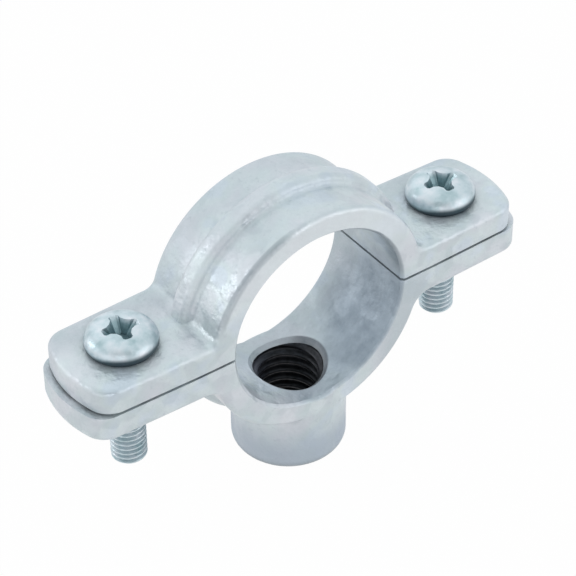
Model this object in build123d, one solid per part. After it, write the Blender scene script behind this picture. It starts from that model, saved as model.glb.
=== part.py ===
"""Split ring hanger for a 3/4 inch steel pipe, cast in two halves and closed by two screws.

Each half is one casting: half a ring with an ear on each side and a stiffening rib round its
back. The lower half also carries a round boss tapped for an M10 rod. Pan head screws pass
through the upper ears and thread into the lower ones. Millimetres; the origin is the centre
of the pipe on the plane that parts the halves, X runs from ear to ear, Y along the pipe and
Z upwards.
"""

import os

from build123d import *

# The pipe and the ring round it
PIPE_RADIUS = 13.45
PIPE_CLEARANCE = 0.30
RING_WALL = 3.5
RING_WIDTH = 15.8
SPLIT_GAP = 0.4

# Ears
SCREW_SPACING = 53.0
UPPER_EAR_REACH = 8.8
LOWER_EAR_REACH = 9.8
UPPER_EAR_THICKNESS = 3.6
LOWER_EAR_THICKNESS = 4.0
EAR_TIP_WIDTH = 15.0
EAR_END_RADIUS = 17.0
EAR_CORNER_RADIUS = 3.4
UPPER_ROOT_RADIUS = 1.6
LOWER_ROOT_RADIUS = 3.0

# Rib round the ring
RIB_HEIGHT = 1.3
RIB_TOP_WIDTH = 1.4
RIB_SHOULDER_RADIUS = 1.0
RIB_FOOT_RADIUS = 0.7

# Boss, which stands a little proud of the ring's front and back, and its rod hole
BOSS_PROUD = 0.3
BOSS_DROP = 26.4
BOSS_ROOT_RADIUS = 1.5
BOSS_END_RADIUS = 1.6
ROD_RADIUS = 5.0
ROD_COUNTERSINK = 0.5
ROD_MOUTH_CHAMFER = 0.6

# Edges of the castings
CAST_EDGE_RADIUS = 0.8
BORE_CHAMFER = 0.4

# Pan head screws
SCREW_RADIUS = 2.5
SCREW_LENGTH = 19.6
SCREW_TIP_CHAMFER = 0.5
THREAD_CLEARANCE = 0.05
EAR_HOLE_CLEARANCE = 0.3
HEAD_RADIUS = 4.95
HEAD_HEIGHT = 3.1
HEAD_CROWN_RADIUS = 14.0
HEAD_SHOULDER_RADIUS = 1.8
HEAD_SEAT_SETBACK = 0.35
HEAD_SEAT_HEIGHT = 0.55
RECESS_RADIUS = 2.75
RECESS_DEPTH = 2.3
RECESS_WING_WIDTH = 1.25
RECESS_TIP_RADIUS = 0.9

# Sizes that follow from those above
BORE_RADIUS = PIPE_RADIUS + PIPE_CLEARANCE
RING_RADIUS = BORE_RADIUS + RING_WALL
BOSS_RADIUS = RING_WIDTH / 2 + BOSS_PROUD
HALF_GAP = SPLIT_GAP / 2
UPPER_EAR_TOP = HALF_GAP + UPPER_EAR_THICKNESS
LOWER_EAR_BOTTOM = -HALF_GAP - LOWER_EAR_THICKNESS
SCREW_PLACES = {"left_screw": -SCREW_SPACING / 2, "right_screw": SCREW_SPACING / 2}

ON_FLOOR = (Align.CENTER, Align.CENTER, Align.MIN)


def along_pipe(outline, width):
    """Extrude an outline drawn in X and Z evenly to both sides of the middle plane."""
    return extrude(Plane.XZ * outline, amount=width / 2, both=True)


def half_outline(side, ear_thickness, root_radius):
    """A half disc with two bars for ears, seen along the pipe; side is 1 above the split, -1 below."""
    ear_level = side * (HALF_GAP + ear_thickness)
    above_split = Pos(0, side * (HALF_GAP + RING_RADIUS / 2)) * Rectangle(2 * RING_RADIUS, RING_RADIUS)
    ears = Pos(0, side * (HALF_GAP + ear_thickness / 2)) * Rectangle(2 * SCREW_SPACING, ear_thickness)
    outline = (Circle(RING_RADIUS) & above_split) + ears
    root_x = (RING_RADIUS**2 - ear_level**2) ** 0.5
    roots = [v for v in outline.vertices() if abs(abs(v.X) - root_x) < 0.01 and abs(v.Y - ear_level) < 0.01]
    return fillet(roots, root_radius)


def ear_plan(ear_reach, root_radius):
    """The outline from above: ears that taper from past their roots to crowned ends with soft corners."""
    taper_x = RING_RADIUS + root_radius
    end_x = SCREW_SPACING / 2 + ear_reach
    crown_x = end_x - EAR_END_RADIUS
    ring_side = [(taper_x, RING_WIDTH / 2), (-taper_x, RING_WIDTH / 2)]
    left_end = [(-end_x, EAR_TIP_WIDTH / 2), (-end_x, -EAR_TIP_WIDTH / 2)]
    opposite = [(-x, -y) for x, y in ring_side + left_end]
    outline = Polygon(*ring_side, *left_end, *opposite, align=None)
    crowned = Rectangle(2 * crown_x, RING_WIDTH)
    for side in (-1, 1):
        crowned += Pos(side * crown_x, 0) * Circle(EAR_END_RADIUS)
    plan = outline & crowned
    corners = [v for v in plan.vertices() if abs(v.X) > SCREW_SPACING / 2]
    return fillet(corners, EAR_CORNER_RADIUS)


def half_blank(side, ear_reach, ear_thickness, root_radius):
    """A half with its ears and soft outer edges, solid where the bore will be."""
    blank = along_pipe(half_outline(side, ear_thickness, root_radius), RING_WIDTH)
    blank &= extrude(ear_plan(ear_reach, root_radius), amount=2 * RING_RADIUS, both=True)
    return fillet(off_split_face(blank.edges()), CAST_EDGE_RADIUS)


def off_split_face(edges):
    """The edges that aren't in the face that meets the other half."""
    level = HALF_GAP + 0.01
    return [e for e in edges if e.bounding_box().max.Z > level or e.bounding_box().min.Z < -level]


def bored(half):
    """A half with the pipe's bore cut out of it and the bore's two rims broken."""
    half -= Rot(90, 0, 0) * Cylinder(BORE_RADIUS, 2 * RING_WIDTH)
    walls = [f for f in half.faces().filter_by(GeomType.CYLINDER) if abs(f.radius - BORE_RADIUS) < 0.01]
    rims = [edge for wall in walls for edge in wall.edges()]
    return chamfer(off_split_face(rims), BORE_CHAMFER)


def rib_section():
    """Across the rib: a flat top, round shoulders and hollow feet that run out on the ring, in X and Y."""
    top_x = RING_RADIUS + RIB_HEIGHT
    top_y = RIB_TOP_WIDTH / 2
    round_x = top_x - RIB_SHOULDER_RADIUS
    hollow_x = RING_RADIUS + RIB_FOOT_RADIUS
    reach = RIB_SHOULDER_RADIUS + RIB_FOOT_RADIUS
    foot_y = top_y + (reach**2 - (hollow_x - round_x) ** 2) ** 0.5
    share = RIB_SHOULDER_RADIUS / reach
    flank_x = round_x + (hollow_x - round_x) * share
    flank_y = top_y + (foot_y - top_y) * share
    deep_x = RING_RADIUS - RING_WALL / 2
    top = Line((top_x, -top_y), (top_x, top_y))
    left_side = [RadiusArc((top_x, top_y), (flank_x, flank_y), -RIB_SHOULDER_RADIUS),
                 RadiusArc((flank_x, flank_y), (RING_RADIUS, foot_y), RIB_FOOT_RADIUS)]
    inside = Polyline((RING_RADIUS, foot_y), (deep_x, foot_y), (deep_x, -foot_y), (RING_RADIUS, -foot_y))
    right_side = [mirror(side, Plane.XZ) for side in left_side]
    return make_face([top, *left_side, inside, *right_side])


def rib(side, ear_thickness):
    """Half of the rib, revolved about the pipe, which stands on the ears."""
    outer = RING_RADIUS + RIB_HEIGHT
    foot_level = HALF_GAP + ear_thickness / 2
    beyond_ears = Pos(0, 0, side * (foot_level + outer)) * Box(4 * outer, RING_WIDTH, 2 * outer)
    return revolve(rib_section(), Axis.Y) & beyond_ears


def boss():
    """The round boss under the ring, with a soft lower edge, reaching up to the split."""
    body = Cylinder(BOSS_RADIUS, BOSS_DROP - HALF_GAP, align=ON_FLOOR)
    body = fillet(body.edges().group_by(Axis.Z)[0], BOSS_END_RADIUS)
    return Pos(0, 0, -BOSS_DROP) * body


def with_boss(half):
    """The lower half with its boss blended in along the line where they meet."""
    fused = half + boss()
    return fillet(new_edges(half, boss(), combined=fused), BOSS_ROOT_RADIUS)


def rod_hole():
    """The rod's hole through the boss, with a small countersink at its mouth."""
    hole = Cylinder(ROD_RADIUS, BOSS_DROP, align=ON_FLOOR)
    mouth = Cone(ROD_RADIUS + ROD_COUNTERSINK, ROD_RADIUS, ROD_COUNTERSINK, align=ON_FLOOR)
    return Pos(0, 0, -BOSS_DROP) * (hole + mouth)


def tapped_for_rod(half):
    """The lower half with the rod's hole through its boss and the hole's edge in the bore broken."""
    half -= rod_hole()
    walls = [f for f in half.faces().filter_by(GeomType.CYLINDER) if abs(f.radius - ROD_RADIUS) < 0.01]
    top_edges = [e for wall in walls for e in wall.edges() if e.bounding_box().max.Z > -BORE_RADIUS]
    return chamfer(top_edges, ROD_MOUTH_CHAMFER)


def ear_holes(radius):
    """The screws' holes, long enough to pass through the ears of either half."""
    length = 3 * max(UPPER_EAR_TOP, -LOWER_EAR_BOTTOM)
    return [Pos(x, 0, 0) * Cylinder(radius, length) for x in SCREW_PLACES.values()]


def upper_half():
    """The arch with its rib and its ears, drilled clear of the screws."""
    half = half_blank(1, UPPER_EAR_REACH, UPPER_EAR_THICKNESS, UPPER_ROOT_RADIUS)
    half = bored(half) + rib(1, UPPER_EAR_THICKNESS)
    return half - ear_holes(SCREW_RADIUS + EAR_HOLE_CLEARANCE)


def lower_half():
    """The seat with its rib, its tapped boss and its tapped ears."""
    half = half_blank(-1, LOWER_EAR_REACH, LOWER_EAR_THICKNESS, LOWER_ROOT_RADIUS)
    half = bored(with_boss(half)) + rib(-1, LOWER_EAR_THICKNESS)
    return tapped_for_rod(half) - ear_holes(SCREW_RADIUS + THREAD_CLEARANCE)


def cross_recess():
    """The driver's cross below the top of a head, narrowing towards its bottom."""
    reach = Cone(RECESS_TIP_RADIUS, RECESS_RADIUS, RECESS_DEPTH, align=ON_FLOOR)
    wing = Box(2 * RECESS_RADIUS, RECESS_WING_WIDTH, RECESS_DEPTH, align=ON_FLOOR)
    cross = wing + Rot(0, 0, 90) * wing
    return Pos(0, 0, HEAD_HEIGHT - RECESS_DEPTH) * (cross & reach)


def pan_head():
    """A crowned pan head standing on the level plane, with its recess."""
    rim_height = HEAD_HEIGHT - HEAD_CROWN_RADIUS + (HEAD_CROWN_RADIUS**2 - HEAD_RADIUS**2) ** 0.5
    seat_edge = (HEAD_RADIUS - HEAD_SEAT_SETBACK, 0)
    seat = Polyline((0, 0), seat_edge, (HEAD_RADIUS, HEAD_SEAT_HEIGHT), (HEAD_RADIUS, rim_height))
    crown = RadiusArc((HEAD_RADIUS, rim_height), (0, HEAD_HEIGHT), -HEAD_CROWN_RADIUS)
    profile = make_face(seat + crown + Line((0, HEAD_HEIGHT), (0, 0)))
    outer = profile.vertices().group_by(Axis.X)[-1].sort_by(Axis.Y)
    profile = fillet(outer[-1], HEAD_SHOULDER_RADIUS)
    return revolve(Plane.XZ * profile, Axis.Z) - cross_recess()


def screw(x):
    """A pan head screw standing in an ear with its axis at x, its head on the upper ear."""
    shank = Cylinder(SCREW_RADIUS, SCREW_LENGTH, align=(Align.CENTER, Align.CENTER, Align.MAX))
    shank = chamfer(shank.edges().group_by(Axis.Z)[0], SCREW_TIP_CHAMFER)
    return Pos(x, 0, UPPER_EAR_TOP) * (pan_head() + shank)


def pieces():
    """Every piece of the hanger under its own name."""
    made = {"lower_half": lower_half(), "upper_half": upper_half()}
    for name, x in SCREW_PLACES.items():
        made[name] = screw(x)
    return made


def main():
    os.makedirs("parts", exist_ok=True)
    for name, piece in pieces().items():
        export_step(piece, f"parts/{name}.step")


main()
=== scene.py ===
"""Looks of the split ring hanger: galvanised castings, plated screws, their threads and a pale studio."""

import math

import bmesh
import bpy
from mathutils import Matrix, Vector


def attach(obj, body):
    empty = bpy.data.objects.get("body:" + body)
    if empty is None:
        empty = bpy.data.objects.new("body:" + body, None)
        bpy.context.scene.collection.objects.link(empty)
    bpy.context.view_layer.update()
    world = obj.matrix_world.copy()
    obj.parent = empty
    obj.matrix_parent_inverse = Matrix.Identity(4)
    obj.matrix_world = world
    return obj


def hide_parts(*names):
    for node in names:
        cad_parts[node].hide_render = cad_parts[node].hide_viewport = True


MM = 0.001

# Camera, set to the photograph's view; angles in degrees
CAMERA_AZIMUTH = -35.57
CAMERA_ELEVATION = 39.51
CAMERA_ROLL = -0.57
CAMERA_DISTANCE = 316.77 * MM
CAMERA_RIGHT = 0.13 * MM
CAMERA_UP = 0.18 * MM
LENS = 145.4
SENSOR = 36.0

# Lamps, each with its name, place, width, height and power
LAMPS = [
    ("key", (0.12, 0.46, 0.36), 0.45, 0.45, 0.18),
    ("side", (-0.42, 0.385, 0.19), 0.07, 0.30, 0.36),
    ("left", (-0.60, -0.16, 0.06), 0.30, 0.30, 0.18),
    ("flank", (-0.33, -0.43, 0.16), 0.08, 0.26, 0.20),
    ("fill", (0.30, -0.50, 0.14), 0.50, 0.50, 0.6),
]

# Room: its brightness, its colours from low to high, and the side where it is darker
ROOM_STRENGTH = 1.02
ROOM_LOW = (0.97, 0.965, 1.0)
ROOM_HIGH = (0.92, 0.985, 1.0)
ROOM_COLOUR_ENDS = (0.1, 0.8)
DARK_SIDE = (-0.45, -0.68, 0.58)
DARK_SIDE_ENDS = (0.75, 0.98)
DARK_SIDE_SHARE = 0.5

# Floor: a grey that takes the shadow, and how much of what is seen of it is plain white
FLOOR_SIZE = 3.0
FLOOR_GAP = 0.02 * MM
FLOOR_GREY = (0.6, 0.6, 0.6)
FLOOR_WHITE_SHARE = 0.985

# Ring and rod hole, as in the solids, with the rod thread that the solids leave out
BORE_RADIUS = 13.75 * MM
RING_RADIUS = 17.25 * MM
RING_FRONT = -7.9 * MM
BOSS_BOTTOM = -26.4 * MM
ROD_RADIUS = 5.0 * MM
ROD_COUNTERSINK = 0.5 * MM
ROD_MOUTH_CHAMFER = 0.6 * MM
ROD_PITCH = 1.5 * MM
ROD_THREAD_DEPTH = 0.81 * MM
ROD_THREAD_FADE = 0.9 * MM
ROD_THREAD_CLEARANCE = 0.01 * MM

# Screws, as in the solids, with the thread that the solids leave out
SCREW_X = 26.5 * MM
EAR_TOP = 3.8 * MM
SCREW_RADIUS = 2.5 * MM
SCREW_LENGTH = 19.6 * MM
SCREW_TIP_CHAMFER = 0.5 * MM
SCREW_PITCH = 0.8 * MM
SCREW_THREAD_DEPTH = 0.45 * MM
SCREW_PLAIN_LENGTH = 1.2 * MM
HEAD_RADIUS = 4.95 * MM
HEAD_HEIGHT = 3.1 * MM
HEAD_CROWN_RADIUS = 14.0 * MM
HEAD_SHOULDER_RADIUS = 1.8 * MM
HEAD_SEAT_SETBACK = 0.35 * MM
HEAD_SEAT_HEIGHT = 0.55 * MM
HEAD_EDGE_RADIUS = 0.05 * MM
HEAD_EDGE_ANGLE = 38.0

# Cross recess, with its taper from top to bottom as shares of its size; turns in degrees
RECESS_RADIUS = 2.75 * MM
RECESS_DEPTH = 2.3 * MM
RECESS_WING_WIDTH = 1.35 * MM
RECESS_REACH_TAPER = (1.12, 0.34)
RECESS_WIDTH_TAPER = (1.15, 0.60)
RECESS_CUT_ABOVE = 0.4 * MM
RECESS_TURN = {"left_screw": -8.0, "right_screw": -3.0}

# How finely the turned pieces are drawn
THREAD_COLUMNS = 96
THREAD_ROWS_PER_TURN = 12
CROWN_STEPS = 10
SHOULDER_STEPS = 12
RECESS_STEPS = 6

# Sizes of the zinc's clouds, tints, crystals and grain
CLOUD_SIZE = 3.4 * MM
TINT_SIZE = 5.5 * MM
CRYSTAL_SIZE = 2.4 * MM
GRAIN_SIZE = 0.9 * MM

# Colours of the zinc skin, with the painted light for the ring's front face and the painted shade towards
# the boss's foot
PALE_LOW = (0.46, 0.515, 0.55)
PALE_MID = (0.605, 0.655, 0.685)
PALE_HIGH = (0.71, 0.75, 0.775)
FRONT_PAINTED_LIGHT = (0.76, 0.80, 0.825)
BLUE_TINT = (0.56, 0.655, 0.76)
GREEN_TINT = (0.60, 0.695, 0.69)
LILAC_TINT = (0.66, 0.655, 0.71)
BOSS_BLUE = (0.37, 0.43, 0.50)

# Colours of the slate patch in the bore and of the painted shade in corners and the split, and where the
# patches and the painted shade lie
SLATE_LOW = (0.285, 0.34, 0.395)
SLATE_HIGH = (0.41, 0.475, 0.535)
CORNER_GREY = (0.24, 0.28, 0.31)
SPLIT_GREY = (0.10, 0.11, 0.13)
SLATE_PLACE = (11.5 * MM, -5.0 * MM, -7.5 * MM)
APRON_PLACE = (0.0, -6.8 * MM, -12.3 * MM)
MOUTH_SHADE_WAY = (0.6, -0.8, 0.0)
RIGHT_CLOSED_X = 19.5 * MM
SHADE_REACH = 1.8 * MM

# Colours of the oiled rod thread, near black as painted shade deep in the hole, and of its painted sheen
OILED_SHADE_LOW = (0.010, 0.011, 0.013)
OILED_SHADE_HIGH = (0.035, 0.037, 0.044)
PAINTED_THREAD_SHEEN = (0.10, 0.105, 0.13)

# Colours of the screws' plate, and of the painted shade in crevices and the recess and the painted shadow
# under the head
PLATE_LOW = (0.38, 0.49, 0.52)
PLATE_MID = (0.54, 0.63, 0.67)
PLATE_HIGH = (0.69, 0.73, 0.77)
CREVICE_TEAL = (0.03, 0.055, 0.07)
RECESS_TEAL = (0.28, 0.40, 0.43)
CREVICE_REACH = 1.6 * MM


def between(start, end, share):
    """The value at a share of the way from start to end."""
    return start + (end - start) * share


def clamped(value):
    """The value kept from 0 to 1."""
    return min(max(value, 0.0), 1.0)


def new_object(name, bm, body, material):
    """A smooth-shaded object made from a bmesh, riding on a body."""
    mesh = bpy.data.meshes.new(name)
    bmesh.ops.recalc_face_normals(bm, faces=bm.faces)
    bm.to_mesh(mesh)
    bm.free()
    mesh.materials.append(material)
    for face in mesh.polygons:
        face.use_smooth = True
    made = bpy.data.objects.new(name, mesh)
    bpy.context.scene.collection.objects.link(made)
    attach(made, body)
    return made


def tube_between(bm, rings):
    """Join each ring of vertices to the next one, with as many vertices, in an open tube."""
    for lower, upper in zip(rings, rings[1:]):
        count = len(lower)
        for i in range(count):
            j = (i + 1) % count
            bm.faces.new((lower[i], lower[j], upper[j], upper[i]))


def ring_of(bm, radius_at, height_at, x=0.0):
    """A ring of vertices about an upright axis, its radius and height functions of the angle."""
    ring = []
    for i in range(THREAD_COLUMNS):
        angle = 2 * math.pi * i / THREAD_COLUMNS
        radius = radius_at(angle)
        place = (x + radius * math.cos(angle), radius * math.sin(angle), height_at(angle))
        ring.append(bm.verts.new(place))
    return ring


def thread_height(turns):
    """How far the thread stands out, from 0 in the root to 1 on the crest, at a place counted in turns."""
    share = turns % 1.0
    slope = min(share, 1.0 - share) * 2
    flat_root, flat_crest = 0.2, 0.82
    rise = clamped((slope - flat_root) / (flat_crest - flat_root))
    return rise * rise * (3 - 2 * rise)


def rod_thread(material):
    """The thread cut in the boss: a sleeve inside the rod hole that fades out at both mouths."""
    bottom = BOSS_BOTTOM + ROD_COUNTERSINK

    def top_at(angle):
        bore_drop = math.sqrt(BORE_RADIUS**2 - (ROD_RADIUS * math.cos(angle)) ** 2)
        return -bore_drop - ROD_MOUTH_CHAMFER - ROD_THREAD_CLEARANCE

    rows = int((top_at(0.0) - bottom) / ROD_PITCH * THREAD_ROWS_PER_TURN)

    def height_at(row):
        return lambda angle: between(bottom, top_at(angle), row / rows)

    def radius_at(row):
        def radius(angle):
            height = height_at(row)(angle)
            to_mouth = min(height - bottom, top_at(angle) - height)
            fade = clamped(to_mouth / ROD_THREAD_FADE)
            turns = height / ROD_PITCH - angle / (2 * math.pi)
            return ROD_RADIUS - ROD_THREAD_CLEARANCE - ROD_THREAD_DEPTH * fade * thread_height(turns)
        return radius

    bm = bmesh.new()
    inner = [ring_of(bm, radius_at(row), height_at(row)) for row in range(rows + 1)]
    tube_between(bm, inner)
    outer = [ring_of(bm, lambda angle: ROD_RADIUS, height_at(row)) for row in (rows, 0)]
    tube_between(bm, [inner[-1], outer[0], outer[1], inner[0]])
    return new_object("rod_thread", bm, "lower_half", material)


def head_profile():
    """Points down the head's outside as (radius, height above the seat), from the top to the shank."""
    centre_z = HEAD_HEIGHT - HEAD_CROWN_RADIUS
    shoulder_x = HEAD_RADIUS - HEAD_SHOULDER_RADIUS
    reach = HEAD_CROWN_RADIUS - HEAD_SHOULDER_RADIUS
    shoulder_z = centre_z + math.sqrt(reach**2 - shoulder_x**2)
    turn = math.asin(shoulder_x / reach)
    points = []
    for i in range(1, CROWN_STEPS + 1):
        angle = turn * i / CROWN_STEPS
        points.append((HEAD_CROWN_RADIUS * math.sin(angle), centre_z + HEAD_CROWN_RADIUS * math.cos(angle)))
    for i in range(1, SHOULDER_STEPS + 1):
        angle = between(turn, math.pi / 2, i / SHOULDER_STEPS)
        points.append((shoulder_x + HEAD_SHOULDER_RADIUS * math.sin(angle),
                       shoulder_z + HEAD_SHOULDER_RADIUS * math.cos(angle)))
    points.append((HEAD_RADIUS, HEAD_SEAT_HEIGHT))
    points.append((HEAD_RADIUS - HEAD_SEAT_SETBACK, 0.0))
    return points


def shank_rings(bm, x):
    """Rings of vertices down the threaded shank to its chamfered tip."""
    rows = int(SCREW_LENGTH / SCREW_PITCH * THREAD_ROWS_PER_TURN)
    rings = []
    for row in range(rows + 1):
        drop = SCREW_LENGTH * row / rows
        cut = SCREW_THREAD_DEPTH * clamped((drop - SCREW_PLAIN_LENGTH) / SCREW_PITCH)
        tip = SCREW_RADIUS - max(0.0, drop - (SCREW_LENGTH - SCREW_TIP_CHAMFER))

        def radius(angle, drop=drop, cut=cut, tip=tip):
            groove = 1.0 - thread_height(drop / SCREW_PITCH + angle / (2 * math.pi))
            return min(SCREW_RADIUS - cut * groove, tip)

        rings.append(ring_of(bm, radius, lambda angle, drop=drop: EAR_TOP - drop, x))
    return rings


def wing_outline(reach, half):
    """One wing of the cross from above, along X, as corners from one inner corner to the next."""
    inner = half * 1.55
    neck = inner + half * 0.9
    shoulder = reach - half * 0.4
    tip = half * 0.6
    return [(inner, -inner), (neck, -half), (shoulder, -half), (reach, -tip), (reach, tip),
            (shoulder, half), (neck, half)]


def cross_cutter(x, turn):
    """The driver's cross as a solid to cut with: four wings that narrow and shorten on the way down."""
    top = EAR_TOP + HEAD_HEIGHT + RECESS_CUT_ABOVE
    depth = RECESS_DEPTH + RECESS_CUT_ABOVE
    bm = bmesh.new()
    rings = []
    for level in range(RECESS_STEPS + 1):
        share = level / RECESS_STEPS
        reach = RECESS_RADIUS * between(*RECESS_REACH_TAPER, share)
        half = RECESS_WING_WIDTH / 2 * between(*RECESS_WIDTH_TAPER, share)
        ring = []
        for wing in range(4):
            spin = Matrix.Rotation(math.radians(turn + 90 * wing), 3, "Z")
            for u, v in wing_outline(reach, half):
                place = spin @ Vector((u, v, 0.0))
                ring.append(bm.verts.new((x + place.x, place.y, top - depth * share)))
        rings.append(ring)
    tube_between(bm, rings)
    bm.faces.new(rings[0])
    bm.faces.new(rings[-1])
    bmesh.ops.recalc_face_normals(bm, faces=bm.faces)
    mesh = bpy.data.meshes.new("cross_cutter")
    bm.to_mesh(mesh)
    bm.free()
    cutter = bpy.data.objects.new("cross_cutter", mesh)
    bpy.context.scene.collection.objects.link(cutter)
    return cutter


def cut_away(made, cutter):
    """Cut a cutter's shape out of an object, for good, and remove the cutter."""
    cut = made.modifiers.new("recess", "BOOLEAN")
    cut.operation = "DIFFERENCE"
    cut.solver = "EXACT"
    cut.object = cutter
    bpy.context.view_layer.update()
    depsgraph = bpy.context.evaluated_depsgraph_get()
    result = bpy.data.meshes.new_from_object(made.evaluated_get(depsgraph))
    made.modifiers.clear()
    made.data = result
    bpy.data.objects.remove(cutter)


def threaded_screw(node, x, material):
    """A pan head screw with its thread and its cross recess, in place of the plain solid."""
    bm = bmesh.new()
    head = [ring_of(bm, lambda angle, r=r: r, lambda angle, z=z: EAR_TOP + z, x) for r, z in head_profile()]
    top = bm.verts.new((x, 0.0, EAR_TOP + HEAD_HEIGHT))
    for i in range(THREAD_COLUMNS):
        bm.faces.new((head[0][i], head[0][(i + 1) % THREAD_COLUMNS], top))
    shank = shank_rings(bm, x)
    tube_between(bm, head + shank)
    bm.faces.new(shank[-1])
    made = new_object(node + "_threaded", bm, node, material)
    cut_away(made, cross_cutter(x, RECESS_TURN[node]))
    bevel = made.modifiers.new("soft_edges", "BEVEL")
    bevel.width = HEAD_EDGE_RADIUS
    bevel.segments = 2
    bevel.limit_method = "ANGLE"
    bevel.angle_limit = math.radians(HEAD_EDGE_ANGLE)
    bevel.harden_normals = True
    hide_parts(node)
    return made


class Nodes:
    """Short names for building a material's nodes, with the place's own x, y and z in metres."""

    def __init__(self, name):
        self.material = bpy.data.materials.new(name)
        self.material.use_nodes = True
        self.tree = self.material.node_tree
        self.shader = self.tree.nodes["Principled BSDF"]
        self.output = self.tree.nodes["Material Output"]
        self.place = self.add("TexCoord").outputs["Object"]
        parts = self.add("SeparateXYZ")
        self.link(self.place, parts.inputs[0])
        self.x, self.y, self.z = parts.outputs

    def add(self, kind, **settings):
        """A new node of that kind."""
        node = self.tree.nodes.new("ShaderNode" + kind)
        for name, value in settings.items():
            setattr(node, name, value)
        return node

    def link(self, source, target):
        """Join an output to an input."""
        self.tree.links.new(source, target)

    def noise(self, size, detail=3.0, rough=0.55, offset=0.0):
        """Noise with features of about that size, in metres."""
        node = self.add("TexNoise")
        place = self.place
        if offset:
            shift = self.add("VectorMath", operation="ADD")
            self.link(place, shift.inputs[0])
            shift.inputs[1].default_value = (offset, offset, offset)
            place = shift.outputs[0]
        self.link(place, node.inputs["Vector"])
        node.inputs["Scale"].default_value = 1 / size
        node.inputs["Detail"].default_value = detail
        node.inputs["Roughness"].default_value = rough
        return node.outputs["Fac"]

    def crystals(self, size):
        """A value that differs from crystal to crystal of the zinc, with soft edges between them."""
        node = self.add("TexVoronoi", feature="SMOOTH_F1")
        self.link(self.place, node.inputs["Vector"])
        node.inputs["Scale"].default_value = 1 / size
        node.inputs["Smoothness"].default_value = 0.35
        parts = self.add("SeparateXYZ")
        self.link(node.outputs["Color"], parts.inputs[0])
        return parts.outputs[0]

    def ramp(self, source, stops):
        """A colour ramp with (place, colour) stops."""
        node = self.add("ValToRGB")
        while len(node.color_ramp.elements) < len(stops):
            node.color_ramp.elements.new(0.5)
        for element, (place, colour) in zip(node.color_ramp.elements, stops):
            element.position = place
            element.color = (*colour, 1.0)
        self.link(source, node.inputs[0])
        return node.outputs[0]

    def span(self, source, low, high, to_low=0.0, to_high=1.0):
        """A value mapped from one range to another, smoothly and clamped."""
        node = self.add("MapRange", interpolation_type="SMOOTHSTEP")
        self.link(source, node.inputs["Value"])
        node.inputs["From Min"].default_value = low
        node.inputs["From Max"].default_value = high
        node.inputs["To Min"].default_value = to_low
        node.inputs["To Max"].default_value = to_high
        return node.outputs["Result"]

    def fade(self, source, start, end):
        """0 up to start and 1 from end on, smoothly; it fades the other way where start is higher."""
        if start < end:
            return self.span(source, start, end)
        return self.span(source, end, start, 1.0, 0.0)

    def zone(self, **limits):
        """Where a place lies within soft limits, each an axis with the (start, end) of its fade."""
        return self.product(*[self.fade(getattr(self, axis), *ends) for axis, ends in limits.items()])

    def math(self, operation, a, b=0.0):
        """A sum on one or two values, each a socket or a number."""
        node = self.add("Math", operation=operation)
        for value, socket in ((a, node.inputs[0]), (b, node.inputs[1])):
            if isinstance(value, (int, float)):
                socket.default_value = value
            else:
                self.link(value, socket)
        return node.outputs[0]

    def product(self, first, *others):
        """Values multiplied together."""
        for other in others:
            first = self.math("MULTIPLY", first, other)
        return first

    def from_axis(self, a, b):
        """The distance from an axis, from the two coordinates across it."""
        return self.math("SQRT", self.math("ADD", self.product(a, a), self.product(b, b)))

    def measure(self, operation, against):
        """The place's distance from a point, or its reach along a direction, in metres."""
        node = self.add("VectorMath", operation=operation)
        self.link(self.place, node.inputs[0])
        node.inputs[1].default_value = against
        return node.outputs["Value"]

    def mix(self, share, a, b):
        """Two colours mixed; each value is a socket or a constant."""
        node = self.add("Mix", data_type="RGBA")
        for value, name in ((share, 0), (a, 6), (b, 7)):
            socket = node.inputs[name]
            if isinstance(value, bpy.types.NodeSocket):
                self.link(value, socket)
            elif isinstance(value, tuple):
                socket.default_value = (*value, 1.0)
            else:
                socket.default_value = value
        return node.outputs[2]

    def openness(self, reach):
        """How open the place is within a reach, from 0 in a deep corner to 1."""
        node = self.add("AmbientOcclusion", samples=8)
        node.inputs["Distance"].default_value = reach
        return node.outputs["AO"]

    def bump(self, heights):
        """Bumps on the shader's normal, from (height socket, depth in metres) pairs."""
        normal = None
        for source, depth in heights:
            node = self.add("Bump")
            node.inputs["Strength"].default_value = 1.0
            node.inputs["Distance"].default_value = depth
            self.link(source, node.inputs["Height"])
            if normal is not None:
                self.link(normal, node.inputs["Normal"])
            normal = node.outputs["Normal"]
        self.link(normal, self.shader.inputs["Normal"])


def zinc_skin(n, cloud, crystal, grain):
    """Pale zinc with soft tints, its crystals and its spotted grain."""
    tint = n.noise(TINT_SIZE, 2.0, 0.5, offset=0.3)
    pale = n.ramp(cloud, [(0.30, PALE_LOW), (0.5, PALE_MID), (0.70, PALE_HIGH)])
    tinted = n.ramp(tint, [(0.36, BLUE_TINT), (0.46, GREEN_TINT), (0.54, PALE_MID), (0.64, LILAC_TINT)])
    crystalline = n.ramp(crystal, [(0.15, PALE_LOW), (0.5, PALE_MID), (0.85, PALE_HIGH)])
    skin = n.mix(0.38, n.mix(0.6, pale, tinted), crystalline)
    return n.mix(n.product(n.fade(grain, 0.56, 0.74), 0.45), skin, PALE_LOW)


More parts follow.
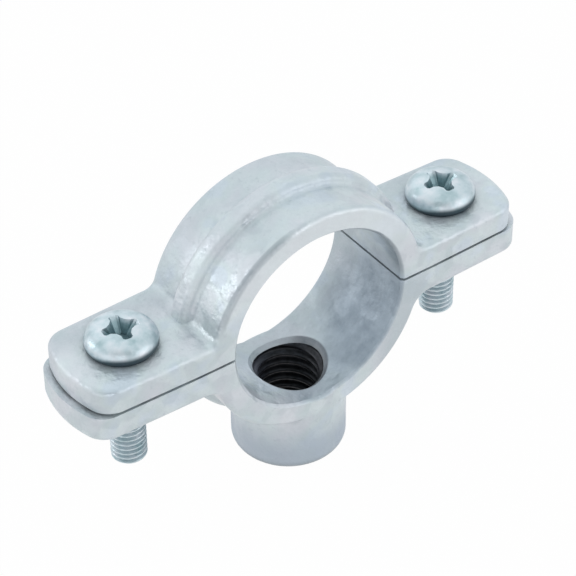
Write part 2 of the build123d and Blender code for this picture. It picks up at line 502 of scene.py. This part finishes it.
def ring_tones(n, from_pipe, far_side):
    """Darker and paler areas outside, painted shade and painted light, as (place, share, colour), from the
    first laid to the last.
    """
    front = n.zone(y=(RING_FRONT + 0.4 * MM, RING_FRONT + 0.05 * MM))
    on_ring = n.fade(from_pipe, RING_RADIUS + 2.0 * MM, RING_RADIUS)
    return [
        # Painted shade: the far band of the ring darker
        (far_side, 0.3, PALE_LOW),
        # Painted shade: the boss darker and bluer towards its foot
        (n.zone(z=(BOSS_BOTTOM + 9.0 * MM, BOSS_BOTTOM + 3.0 * MM)), 0.75, BOSS_BLUE),
        # Painted shade along the boss's foot where it meets the floor
        (n.zone(z=(BOSS_BOTTOM + 2.0 * MM, BOSS_BOTTOM + 0.3 * MM)), 0.8, CORNER_GREY),
        # Painted shade: the back of the arch's top darker
        (n.zone(z=(10.0 * MM, 16.0 * MM), y=(4.0 * MM, 1.0 * MM)), 0.28, PALE_LOW),
        # Painted light: the ring's front face paler
        (n.product(front, n.zone(z=(4.0 * MM, 11.0 * MM))), 0.55, FRONT_PAINTED_LIGHT),
        # Painted shade on the ring's front at the right, just below the split, by the ear's root
        (n.product(front, on_ring, n.zone(x=(8.0 * MM, 12.0 * MM), z=(1.0 * MM, -1.0 * MM))), 0.6, PALE_LOW),
    ]


def bore_tones(n, bore, slate_patch, cloud):
    """The darker slate patch, the dark apron before the rod hole and the painted shade under the arch's
    front.
    """
    slate = n.ramp(cloud, [(0.34, SLATE_LOW), (0.66, SLATE_HIGH)])
    apron = n.fade(n.measure("DISTANCE", APRON_PLACE), 6.0 * MM, 2.5 * MM)
    under_arch = n.zone(z=(0.2 * MM, 3.0 * MM), x=(3.0 * MM, 10.0 * MM),
                        y=(RING_FRONT + 4.5 * MM, RING_FRONT + 0.4 * MM))
    return [
        (slate_patch, 1.0, slate),
        (n.product(bore, apron), 0.6, SLATE_LOW),
        # Painted shade under the arch's front
        (n.product(bore, under_arch), 0.75, CORNER_GREY),
    ]


def edge_tones(n, from_pipe):
    """A darker line along the arch's front edge at the left, and painted shade on one side of the rod hole's
    mouth.
    """
    edge = n.fade(from_pipe, RING_RADIUS - 0.9 * MM, RING_RADIUS - 0.4 * MM)
    left_front = n.zone(x=(-3.0 * MM, -7.0 * MM), y=(RING_FRONT + 1.0 * MM, RING_FRONT + 0.6 * MM),
                        z=(4.5 * MM, 7.0 * MM))
    mouth = n.fade(n.from_axis(n.x, n.y), ROD_RADIUS + 0.8 * MM, ROD_RADIUS + 0.5 * MM)
    shade_way = n.fade(n.measure("DOT_PRODUCT", MOUTH_SHADE_WAY), -3.0 * MM, 1.0 * MM)
    below = n.zone(z=(-8.0 * MM, -9.0 * MM))
    return [
        (n.product(edge, left_front), 0.5, CORNER_GREY),
        # Painted shade on the front-right side of the rod hole's mouth
        (n.product(mouth, shade_way, below), 0.7, SPLIT_GREY),
    ]


def corner_tones(n):
    """Painted shade in the corners and the split, less where the screws pull the ears together."""
    openness = n.openness(SHADE_REACH)
    from_left_screw = n.math("ABSOLUTE", n.math("ADD", n.x, SCREW_X))
    from_right_closed = n.math("ABSOLUTE", n.math("SUBTRACT", n.x, RIGHT_CLOSED_X))
    closed = n.math("MAXIMUM", n.product(n.fade(from_left_screw, 8.5 * MM, 6.0 * MM), 0.95),
                    n.product(n.fade(from_right_closed, 4.0 * MM, 1.0 * MM), 0.8))
    in_split = n.fade(n.math("ABSOLUTE", n.z), 0.6 * MM, 0.25 * MM)
    shown = n.math("SUBTRACT", 1.0, n.product(closed, in_split))
    return [
        # Painted shade in corners, and deeper painted shade in the split and the creases
        (n.product(n.fade(openness, 0.85, 0.35), shown), 0.35, CORNER_GREY),
        (n.product(n.fade(openness, 0.30, 0.03), shown), 0.7, SPLIT_GREY),
    ]


def galvanised_iron():
    """Cast skin under hot-dip zinc: pale, mottled, softly rough, slate in the bore, with painted shade in
    the corners and the split and painted light on the ring's front face.
    """
    n = Nodes("galvanised_iron")
    cloud = n.noise(CLOUD_SIZE, 4.0, 0.62)
    crystal = n.crystals(CRYSTAL_SIZE)
    grain = n.noise(GRAIN_SIZE, 3.0, 0.6, offset=0.7)
    far_side = n.zone(y=(1.0 * MM, 5.0 * MM))
    from_pipe = n.from_axis(n.x, n.z)
    bore = n.fade(from_pipe, BORE_RADIUS + 0.5 * MM, BORE_RADIUS + 0.1 * MM)
    from_slate_patch = n.measure("DISTANCE", SLATE_PLACE)
    slate_patch = n.product(bore, n.span(from_slate_patch, 5.5 * MM, 13.0 * MM, 1.0, 0.10))
    skin = zinc_skin(n, cloud, crystal, grain)
    tones = ring_tones(n, from_pipe, far_side) + bore_tones(n, bore, slate_patch, cloud)
    tones += edge_tones(n, from_pipe) + corner_tones(n)
    for where, share, colour in tones:
        skin = n.mix(n.product(where, share), skin, colour)
    n.link(skin, n.shader.inputs["Base Color"])
    n.shader.inputs["Metallic"].default_value = 0.45
    dullness = n.math("ADD", n.product(far_side, 0.2), n.product(slate_patch, 0.15))
    n.link(n.math("ADD", n.span(crystal, 0.15, 0.85, 0.32, 0.52), dullness), n.shader.inputs["Roughness"])
    n.bump([(n.noise(2.6 * MM, 2.0, 0.5, offset=0.9), 0.26 * MM),
            (n.noise(1.3 * MM, 2.0, 0.5), 0.10 * MM),
            (grain, 0.09 * MM),
            (n.noise(0.35 * MM, 2.0, 0.5), 0.016 * MM)])
    return n.material


def tapped_iron():
    """The bare, oiled thread inside the boss, near black as painted shade deep in the hole, with a painted
    sheen at the left.
    """
    n = Nodes("tapped_iron")
    grain = n.noise(0.8 * MM, 3.0)
    # The thread's own oiled darkness, deepened to near black as painted shade
    oiled_and_shaded = n.ramp(grain, [(0.3, OILED_SHADE_LOW), (0.7, OILED_SHADE_HIGH)])
    # Painted sheen on the thread at the left
    painted_sheen = n.product(n.zone(x=(0.5 * MM, -4.5 * MM)), 0.9)
    n.link(n.mix(painted_sheen, oiled_and_shaded, PAINTED_THREAD_SHEEN), n.shader.inputs["Base Color"])
    n.shader.inputs["Metallic"].default_value = 0.6
    n.shader.inputs["Roughness"].default_value = 0.38
    n.bump([(grain, 0.02 * MM)])
    return n.material


def recess_mask(n):
    """Where the head's surface lies below its crown near the screw's axis, which is in the recess."""
    off_axis = n.math("SUBTRACT", n.math("ABSOLUTE", n.x), SCREW_X)
    outwards = n.from_axis(off_axis, n.y)
    crown_fall = n.math("DIVIDE", n.product(outwards, outwards), 2 * HEAD_CROWN_RADIUS)
    crown = n.math("SUBTRACT", EAR_TOP + HEAD_HEIGHT, crown_fall)
    below_crown = n.fade(n.math("SUBTRACT", crown, n.z), 0.05 * MM, 0.9 * MM)
    near_axis = n.fade(outwards, RECESS_RADIUS + 0.6 * MM, RECESS_RADIUS + 0.3 * MM)
    return n.product(below_crown, near_axis)


def plated_steel():
    """Zinc plate with a faint teal cast, duller in patches, with painted shade in crevices and the recess
    and a painted shadow under the head.
    """
    n = Nodes("plated_steel")
    patch = n.noise(2.0 * MM, 3.0)
    plate = n.ramp(patch, [(0.3, PLATE_LOW), (0.5, PLATE_MID), (0.7, PLATE_HIGH)])
    in_head = n.zone(z=(EAR_TOP - 0.05 * MM, EAR_TOP))
    # Painted shade in crevices, strongest on the head
    crevice = n.fade(n.openness(CREVICE_REACH), 0.80, 0.25)
    # Painted shadow: a dark band round the foot of the head, higher at the front
    rim_rise = n.product(n.zone(y=(-1.0 * MM, -4.5 * MM)), 0.45 * MM)
    rim = n.fade(n.math("SUBTRACT", n.z, rim_rise), EAR_TOP + 1.2 * MM, EAR_TOP + 0.45 * MM)
    tones = [
        (crevice, n.span(in_head, 0.0, 1.0, 0.15, 0.6), CREVICE_TEAL),
        # Painted shade in the recess
        (n.product(recess_mask(n), in_head), 0.94, RECESS_TEAL),
        (n.product(rim, in_head), 0.92, CREVICE_TEAL),
    ]
    for where, share, colour in tones:
        plate = n.mix(n.product(where, share), plate, colour)
    n.link(plate, n.shader.inputs["Base Color"])
    n.shader.inputs["Metallic"].default_value = 0.85
    n.link(n.span(patch, 0.3, 0.7, 0.32, 0.46), n.shader.inputs["Roughness"])
    n.bump([(patch, 0.10 * MM), (n.noise(0.5 * MM, 2.0), 0.012 * MM)])
    return n.material


def dress_castings(material):
    """Give both castings their finish."""
    for name in ("lower_half", "upper_half"):
        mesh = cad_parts[name].data
        mesh.materials.clear()
        mesh.materials.append(material)


def camera():
    """The photograph's camera."""
    azimuth, elevation, roll = (math.radians(a) for a in (CAMERA_AZIMUTH, CAMERA_ELEVATION, CAMERA_ROLL))
    back = Vector((math.sin(azimuth) * math.cos(elevation), -math.cos(azimuth) * math.cos(elevation),
                   math.sin(elevation)))
    level = Vector((math.cos(azimuth), math.sin(azimuth), 0.0))
    over = back.cross(level)
    right = level * math.cos(roll) + over * math.sin(roll)
    up = over * math.cos(roll) - level * math.sin(roll)
    data = bpy.data.cameras.new("camera")
    data.lens = LENS
    data.sensor_width = SENSOR
    data.clip_start = 10 * MM
    data.clip_end = 10.0
    made = bpy.data.objects.new("camera", data)
    turned = Matrix((right, up, back)).transposed().to_4x4()
    place = back * CAMERA_DISTANCE + right * CAMERA_RIGHT + up * CAMERA_UP
    made.matrix_world = Matrix.Translation(place) @ turned
    bpy.context.scene.collection.objects.link(made)
    bpy.context.scene.camera = made


def area_light(name, place, width, height, power):
    """A soft rectangular lamp aimed at the ring."""
    data = bpy.data.lights.new(name, "AREA")
    data.shape = "RECTANGLE"
    data.size = width
    data.size_y = height
    data.energy = power
    made = bpy.data.objects.new(name, data)
    made.location = place
    made.rotation_euler = (-Vector(place)).to_track_quat("-Z", "Y").to_euler()
    bpy.context.scene.collection.objects.link(made)


def room():
    """An even room, cooler above and darker to one side, that shows plain white to the camera."""
    world = bpy.data.worlds.new("studio")
    bpy.context.scene.world = world
    world.use_nodes = True
    tree = world.node_tree
    light = tree.nodes["Background"]
    direction = tree.nodes.new("ShaderNodeTexCoord").outputs["Generated"]
    parts = tree.nodes.new("ShaderNodeSeparateXYZ")
    tree.links.new(direction, parts.inputs[0])
    sky = tree.nodes.new("ShaderNodeValToRGB")
    for stop, place, colour in zip(sky.color_ramp.elements, ROOM_COLOUR_ENDS, (ROOM_LOW, ROOM_HIGH)):
        stop.position = place
        stop.color = (*colour, 1.0)
    tree.links.new(parts.outputs["Z"], sky.inputs[0])
    tree.links.new(sky.outputs[0], light.inputs["Color"])
    towards = tree.nodes.new("ShaderNodeVectorMath")
    towards.operation = "DOT_PRODUCT"
    towards.inputs[1].default_value = DARK_SIDE
    tree.links.new(direction, towards.inputs[0])
    shade = tree.nodes.new("ShaderNodeMapRange")
    shade.interpolation_type = "SMOOTHSTEP"
    shade.inputs["From Min"].default_value, shade.inputs["From Max"].default_value = DARK_SIDE_ENDS
    shade.inputs["To Min"].default_value = ROOM_STRENGTH
    shade.inputs["To Max"].default_value = ROOM_STRENGTH * DARK_SIDE_SHARE
    tree.links.new(towards.outputs["Value"], shade.inputs["Value"])
    tree.links.new(shade.outputs["Result"], light.inputs["Strength"])
    white = tree.nodes.new("ShaderNodeBackground")
    white.inputs["Strength"].default_value = 1.0
    path = tree.nodes.new("ShaderNodeLightPath")
    mix = tree.nodes.new("ShaderNodeMixShader")
    tree.links.new(path.outputs["Is Camera Ray"], mix.inputs[0])
    tree.links.new(light.outputs[0], mix.inputs[1])
    tree.links.new(white.outputs[0], mix.inputs[2])
    tree.links.new(mix.outputs[0], tree.nodes["World Output"].inputs["Surface"])


def floor():
    """A plain floor that shows white to the camera and keeps a soft shadow."""
    bm = bmesh.new()
    bmesh.ops.create_grid(bm, x_segments=1, y_segments=1, size=FLOOR_SIZE)
    mesh = bpy.data.meshes.new("floor")
    bm.to_mesh(mesh)
    bm.free()
    made = bpy.data.objects.new("floor", mesh)
    made.location = (0.0, 0.0, BOSS_BOTTOM - FLOOR_GAP)
    bpy.context.scene.collection.objects.link(made)
    n = Nodes("floor")
    n.shader.inputs["Base Color"].default_value = (*FLOOR_GREY, 1.0)
    n.shader.inputs["Roughness"].default_value = 0.9
    n.shader.inputs["Specular IOR Level"].default_value = 0.1
    glow = n.add("Emission")
    glow.inputs["Strength"].default_value = 1.0
    path = n.add("LightPath")
    seen = n.math("MAXIMUM", path.outputs["Is Camera Ray"], path.outputs["Is Glossy Ray"])
    mix = n.add("MixShader")
    n.link(n.product(seen, FLOOR_WHITE_SHARE), mix.inputs[0])
    n.link(n.shader.outputs[0], mix.inputs[1])
    n.link(glow.outputs[0], mix.inputs[2])
    n.link(mix.outputs[0], n.output.inputs["Surface"])
    mesh.materials.append(n.material)


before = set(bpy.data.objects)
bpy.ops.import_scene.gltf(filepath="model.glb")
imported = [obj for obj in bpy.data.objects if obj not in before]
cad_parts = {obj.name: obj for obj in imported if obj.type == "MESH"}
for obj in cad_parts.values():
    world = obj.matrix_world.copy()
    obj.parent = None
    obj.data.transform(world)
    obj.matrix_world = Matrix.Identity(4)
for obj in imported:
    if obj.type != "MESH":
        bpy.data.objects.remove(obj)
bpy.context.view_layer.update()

dress_castings(galvanised_iron())
rod_thread(tapped_iron())
plate = plated_steel()
threaded_screw("left_screw", -SCREW_X, plate)
threaded_screw("right_screw", SCREW_X, plate)
camera()
for lamp in LAMPS:
    area_light(*lamp)
room()
floor()
bpy.context.scene.view_settings.view_transform = "Standard"
